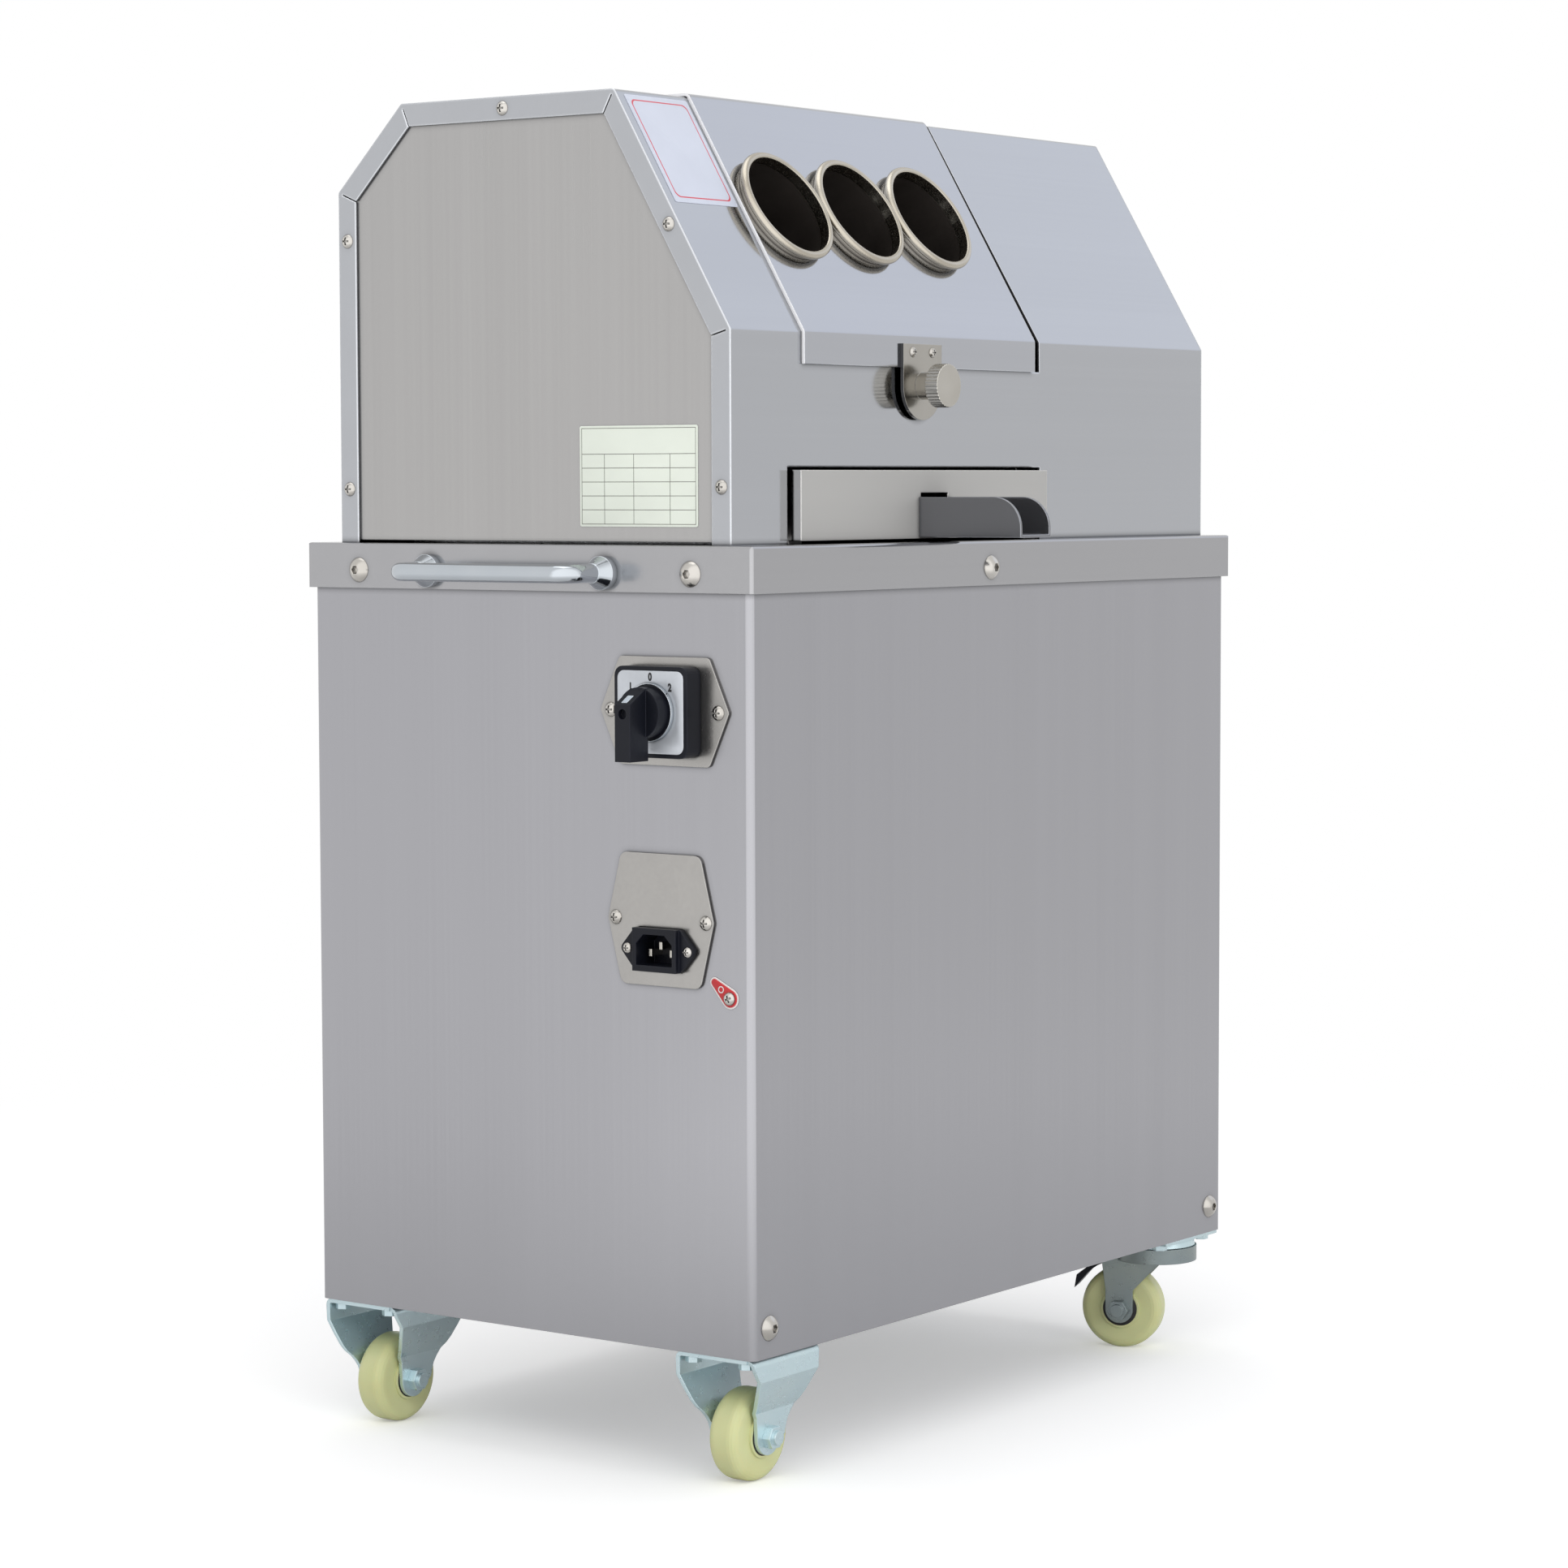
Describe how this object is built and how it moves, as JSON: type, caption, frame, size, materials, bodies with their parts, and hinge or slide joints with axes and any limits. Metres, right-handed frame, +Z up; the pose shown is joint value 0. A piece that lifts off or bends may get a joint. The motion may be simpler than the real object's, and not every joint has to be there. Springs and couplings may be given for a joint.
{
  "type": "electric sugarcane juicer",
  "caption": "Free-standing electric sugarcane juicer: stainless cabinet on castors, hinged lid with round feed tubes over a roller mill, slide-out juice tray with spout.",
  "frame": {"origin": "on the floor under the middle of the whole box", "axes": "+X along the cabinet from the switch end to the drive end, -Y out of the front, +Z up"},
  "size_m": [0.56, 0.3854, 0.7467],
  "materials": {
    "stainless_sheet": "satin stainless sheet with soft vertical reflections",
    "polished_steel": "polished steel",
    "mill_steel": "turned and ground steel",
    "gear_steel": "cut steel, oiled",
    "bronze": "turned bronze",
    "frame_paint": "grey primer on steel angle",
    "grey_casting": "grey paint on castings",
    "zinc_plate": "bluish zinc plating",
    "cream_nylon": "cream nylon, slightly translucent",
    "black_plastic": "fine-grained black plastic"
  },
  "bodies": {
    "machine": {"welded_frame": "frame_paint", "cabinet_shell": "stainless_sheet", "cabinet_back_panel": "stainless_sheet", "base_plate": "stainless_sheet", "table_top": "stainless_sheet", "head_cover": "stainless_sheet", "head_left_panel": "stainless_sheet", "head_right_panel": "stainless_sheet", "cover_screws": "polished_steel", "casing_bolts": "polished_steel", "left_handle": "polished_steel", "right_handle": "polished_steel", "switch_plate": "stainless_sheet", "switch_body": "black_plastic", "inlet_plate": "stainless_sheet", "power_inlet": "black_plastic", "inlet_pins": "polished_steel", "left_cheek": "mill_steel", "right_cheek": "mill_steel", "roller_bushes": "bronze", "tie_bars": "mill_steel", "turner_bar": "mill_steel", "bagasse_chute": "stainless_sheet", "gearbox": "grey_casting", "motor": "grey_casting", "front_left_fork": "zinc_plate", "rear_left_fork": "zinc_plate", "rigid_axles": "zinc_plate", "front_right_castor_plate": "zinc_plate", "rear_right_castor_plate": "zinc_plate", "castor_bolts": "zinc_plate", "fixed_hinge_leaf": "stainless_sheet", "hinge_pin": "polished_steel"},
    "lid": {"lid": "stainless_sheet", "lid_hinge_leaf": "stainless_sheet", "left_feed_tube": "polished_steel", "middle_feed_tube": "polished_steel", "right_feed_tube": "polished_steel", "latch_bracket": "stainless_sheet", "latch_screws": "polished_steel"},
    "latch": {"latch_plunger": "polished_steel"},
    "tray": {"juice_tray": "stainless_sheet", "juice_spout": "stainless_sheet"},
    "switch_knob": {"switch_knob": "black_plastic"},
    "top_roller": {"top_roller": "mill_steel", "top_gear": "gear_steel"},
    "front_roller": {"front_roller": "mill_steel", "front_gear": "gear_steel"},
    "rear_roller": {"rear_roller": "mill_steel", "rear_gear": "gear_steel"},
    "front_left_wheel": {"front_left_wheel": "cream_nylon"},
    "rear_left_wheel": {"rear_left_wheel": "cream_nylon"},
    "front_right_swivel": {"front_right_fork": "zinc_plate", "front_right_axle": "zinc_plate"},
    "rear_right_swivel": {"rear_right_fork": "zinc_plate", "rear_right_axle": "zinc_plate"},
    "front_right_wheel": {"front_right_wheel": "cream_nylon"},
    "rear_right_wheel": {"rear_right_wheel": "cream_nylon"},
    "front_right_pedal": {"front_right_pedal": "black_plastic"},
    "rear_right_pedal": {"rear_right_pedal": "black_plastic"}
  },
  "joints": [
    {"name": "lid_hinge", "type": "hinge", "parent": "machine", "child": "lid", "pos_m": [-0.064, 0.06683, 0.7435], "axis": [-1, 0, 0], "range_deg": [0, 120]},
    {"name": "latch_pull", "type": "slide", "parent": "lid", "child": "latch", "axis": [0, -1, 0], "range_m": [0, 0.008], "stiffness_N_per_m": 400, "springref_m": -0.004},
    {"name": "tray_slide", "type": "slide", "parent": "machine", "child": "tray", "axis": [0, -1, 0], "range_m": [0, 0.18]},
    {"name": "switch_turn", "type": "hinge", "parent": "machine", "child": "switch_knob", "pos_m": [-0.244, -0.07767, 0.4127], "axis": [-1, 0, 0], "range_deg": [-45, 45]},
    {"name": "top_roller_spin", "type": "hinge", "parent": "machine", "child": "top_roller", "pos_m": [-0.0665, 0.00633, 0.667], "axis": [1, 0, 0], "continuous": true},
    {"name": "front_roller_spin", "type": "hinge", "parent": "machine", "child": "front_roller", "pos_m": [-0.0665, -0.03867, 0.607], "axis": [1, 0, 0], "continuous": true},
    {"name": "rear_roller_spin", "type": "hinge", "parent": "machine", "child": "rear_roller", "pos_m": [-0.0665, 0.05133, 0.607], "axis": [1, 0, 0], "continuous": true},
    {"name": "front_left_wheel_spin", "type": "hinge", "parent": "machine", "child": "front_left_wheel", "pos_m": [-0.211, -0.10667, 0.025], "axis": [0, 1, 0], "continuous": true},
    {"name": "rear_left_wheel_spin", "type": "hinge", "parent": "machine", "child": "rear_left_wheel", "pos_m": [-0.211, 0.14333, 0.025], "axis": [0, 1, 0], "continuous": true},
    {"name": "front_right_swivel_turn", "type": "hinge", "parent": "machine", "child": "front_right_swivel", "pos_m": [0.211, -0.10667, 0.06], "axis": [0, 0, 1], "continuous": true},
    {"name": "front_right_wheel_spin", "type": "hinge", "parent": "front_right_swivel", "child": "front_right_wheel", "pos_m": [0.20449, -0.08776, 0.025], "axis": [-0.9455, -0.3256, 0], "continuous": true},
    {"name": "front_right_pedal_press", "type": "hinge", "parent": "front_right_swivel", "child": "front_right_pedal", "pos_m": [0.20338, -0.08455, 0.05732], "axis": [-0.9455, -0.3256, 0], "range_deg": [0, 8]},
    {"name": "rear_right_swivel_turn", "type": "hinge", "parent": "machine", "child": "rear_right_swivel", "pos_m": [0.211, 0.14333, 0.06], "axis": [0, 0, 1], "continuous": true},
    {"name": "rear_right_wheel_spin", "type": "hinge", "parent": "rear_right_swivel", "child": "rear_right_wheel", "pos_m": [0.20449, 0.16224, 0.025], "axis": [-0.9455, -0.3256, 0], "continuous": true},
    {"name": "rear_right_pedal_press", "type": "hinge", "parent": "rear_right_swivel", "child": "rear_right_pedal", "pos_m": [0.20338, 0.16545, 0.05732], "axis": [-0.9455, -0.3256, 0], "range_deg": [0, 8]}
  ],
  "couplings": [
    {"joint": "front_roller_spin", "follows": "top_roller_spin", "ratio": -1},
    {"joint": "rear_roller_spin", "follows": "top_roller_spin", "ratio": -1}
  ]
}
